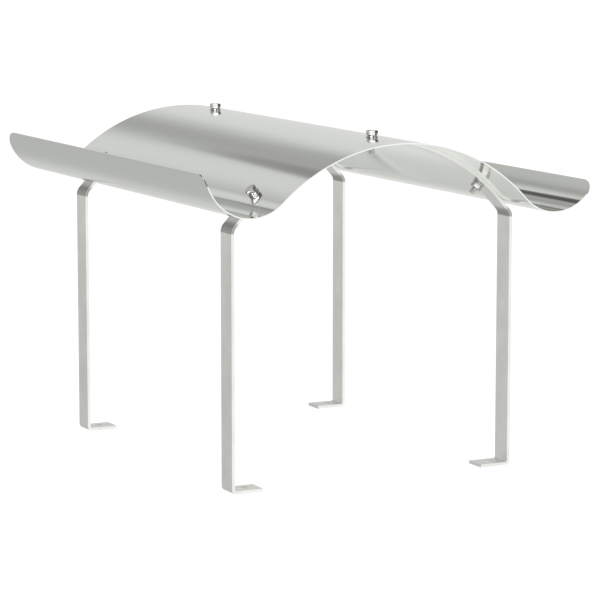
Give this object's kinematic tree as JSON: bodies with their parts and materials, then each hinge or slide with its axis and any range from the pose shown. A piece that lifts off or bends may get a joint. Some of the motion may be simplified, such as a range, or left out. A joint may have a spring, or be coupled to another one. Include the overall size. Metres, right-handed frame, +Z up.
{
  "type": "chimney cap",
  "caption": "Wave-form chimney cap: a curved stainless sheet with turned-up gutters, bolted over two flat-bar stirrups that stand on drilled feet",
  "frame": {"origin": "On the standing plane, midway between the four foot holes", "axes": "+X across the flue from the high-lipped gutter to the low one, +Y along the cover from front to rear, +Z up"},
  "size_m": [0.5466, 0.637, 0.4424],
  "materials": {
    "cover_sheet": "cold-rolled stainless sheet, satin to semi-mirror",
    "flat_bar": "stainless flat bar, mill finish",
    "fastener": "bright stainless"
  },
  "bodies": {
    "root": {"wave_cover": "cover_sheet", "front_stirrup": "flat_bar", "rear_stirrup": "flat_bar", "front_left_bolt": "fastener", "front_left_spring_washer": "fastener", "front_left_head_washer": "fastener", "front_left_nut_washer": "fastener", "front_left_nut": "fastener", "front_crown_bolt": "fastener", "front_crown_spring_washer": "fastener", "front_crown_head_washer": "fastener", "front_crown_nut_washer": "fastener", "front_crown_nut": "fastener", "front_right_bolt": "fastener", "front_right_spring_washer": "fastener", "front_right_head_washer": "fastener", "front_right_nut_washer": "fastener", "front_right_nut": "fastener", "rear_left_bolt": "fastener", "rear_left_spring_washer": "fastener", "rear_left_head_washer": "fastener", "rear_left_nut_washer": "fastener", "rear_left_nut": "fastener", "rear_crown_bolt": "fastener", "rear_crown_spring_washer": "fastener", "rear_crown_head_washer": "fastener", "rear_crown_nut_washer": "fastener", "rear_crown_nut": "fastener", "rear_right_bolt": "fastener", "rear_right_spring_washer": "fastener", "rear_right_head_washer": "fastener", "rear_right_nut_washer": "fastener", "rear_right_nut": "fastener"}
  },
  "joints": []
}
